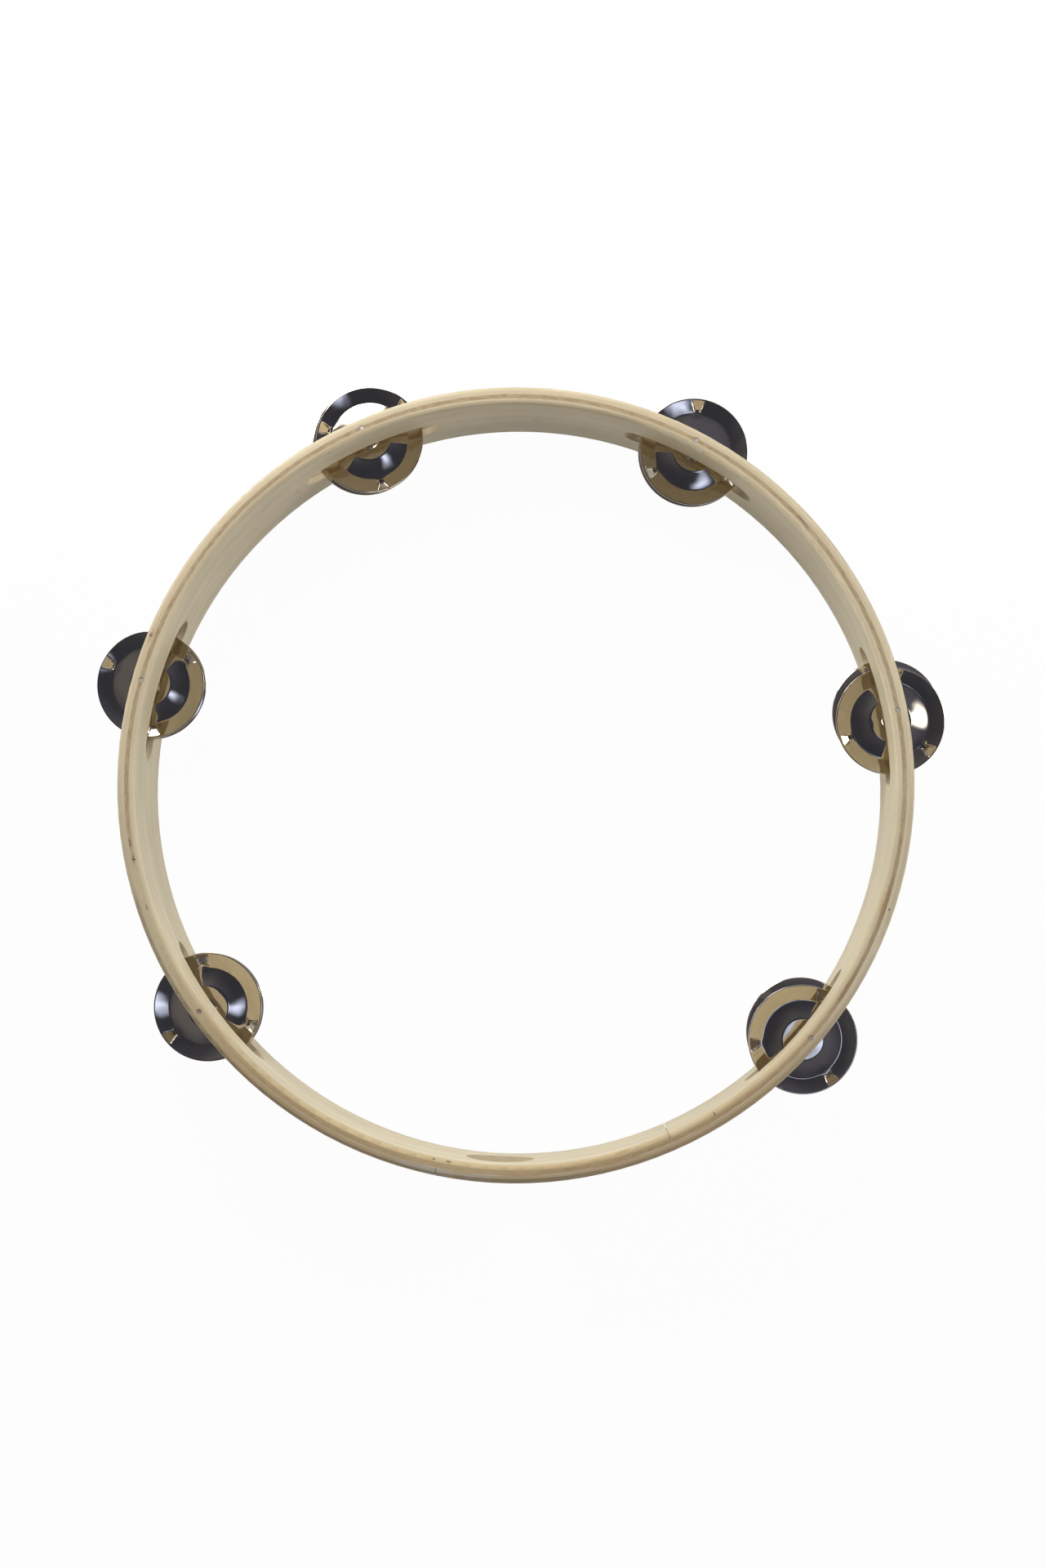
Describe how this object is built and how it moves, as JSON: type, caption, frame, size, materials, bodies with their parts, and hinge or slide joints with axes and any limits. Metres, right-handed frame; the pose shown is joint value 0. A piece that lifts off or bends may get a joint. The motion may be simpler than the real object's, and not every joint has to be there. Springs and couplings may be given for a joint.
{
  "type": "tambourine",
  "caption": "Headless wooden tambourine: a bent plywood hoop with round-ended slots, each holding a loose pair of stamped jingles on a pin, and a round thumb hole.",
  "frame": {"origin": "on the hoop's axis, in the plane of the lower rim that it lies on", "axes": "+Z along the hoop's axis, up from the lower rim; -Y out through the thumb hole"},
  "size_m": [0.2787, 0.2573, 0.045],
  "materials": {
    "face_ply": "satin clear lacquer on pale veneer",
    "core_ply": "sanded end-grain veneer",
    "pin_wire": "cut steel wire",
    "jingle_plate": "bright nickel plate"
  },
  "bodies": {
    "hoop": {"outer_ply": "face_ply", "core_ply": "core_ply", "inner_ply": "face_ply", "pin_1": "pin_wire", "pin_2": "pin_wire", "pin_3": "pin_wire", "pin_4": "pin_wire", "pin_5": "pin_wire", "pin_6": "pin_wire"},
    "lower_jingle_1": {"lower_jingle_1": "jingle_plate"},
    "upper_jingle_1": {"upper_jingle_1": "jingle_plate"},
    "lower_jingle_2": {"lower_jingle_2": "jingle_plate"},
    "upper_jingle_2": {"upper_jingle_2": "jingle_plate"},
    "lower_jingle_3": {"lower_jingle_3": "jingle_plate"},
    "upper_jingle_3": {"upper_jingle_3": "jingle_plate"},
    "lower_jingle_4": {"lower_jingle_4": "jingle_plate"},
    "upper_jingle_4": {"upper_jingle_4": "jingle_plate"},
    "lower_jingle_5": {"lower_jingle_5": "jingle_plate"},
    "upper_jingle_5": {"upper_jingle_5": "jingle_plate"},
    "lower_jingle_6": {"lower_jingle_6": "jingle_plate"},
    "upper_jingle_6": {"upper_jingle_6": "jingle_plate"}
  },
  "joints": [
    {"name": "lower_jingle_1_slide", "type": "slide", "parent": "hoop", "child": "lower_jingle_1", "axis": [0, 0, 1], "range_m": [0, 0.0035]},
    {"name": "upper_jingle_1_slide", "type": "slide", "parent": "lower_jingle_1", "child": "upper_jingle_1", "axis": [0, 0, 1], "range_m": [0, 0.0035]},
    {"name": "lower_jingle_2_slide", "type": "slide", "parent": "hoop", "child": "lower_jingle_2", "axis": [0, 0, 1], "range_m": [0, 0.0035]},
    {"name": "upper_jingle_2_slide", "type": "slide", "parent": "lower_jingle_2", "child": "upper_jingle_2", "axis": [0, 0, 1], "range_m": [0, 0.0035]},
    {"name": "lower_jingle_3_slide", "type": "slide", "parent": "hoop", "child": "lower_jingle_3", "axis": [0, 0, 1], "range_m": [0, 0.0035]},
    {"name": "upper_jingle_3_slide", "type": "slide", "parent": "lower_jingle_3", "child": "upper_jingle_3", "axis": [0, 0, 1], "range_m": [0, 0.0035]},
    {"name": "lower_jingle_4_slide", "type": "slide", "parent": "hoop", "child": "lower_jingle_4", "axis": [0, 0, 1], "range_m": [0, 0.0035]},
    {"name": "upper_jingle_4_slide", "type": "slide", "parent": "lower_jingle_4", "child": "upper_jingle_4", "axis": [0, 0, 1], "range_m": [0, 0.0035]},
    {"name": "lower_jingle_5_slide", "type": "slide", "parent": "hoop", "child": "lower_jingle_5", "axis": [0, 0, 1], "range_m": [0, 0.0035]},
    {"name": "upper_jingle_5_slide", "type": "slide", "parent": "lower_jingle_5", "child": "upper_jingle_5", "axis": [0, 0, 1], "range_m": [0, 0.0035]},
    {"name": "lower_jingle_6_slide", "type": "slide", "parent": "hoop", "child": "lower_jingle_6", "axis": [0, 0, 1], "range_m": [0, 0.0035]},
    {"name": "upper_jingle_6_slide", "type": "slide", "parent": "lower_jingle_6", "child": "upper_jingle_6", "axis": [0, 0, 1], "range_m": [0, 0.0035]}
  ]
}
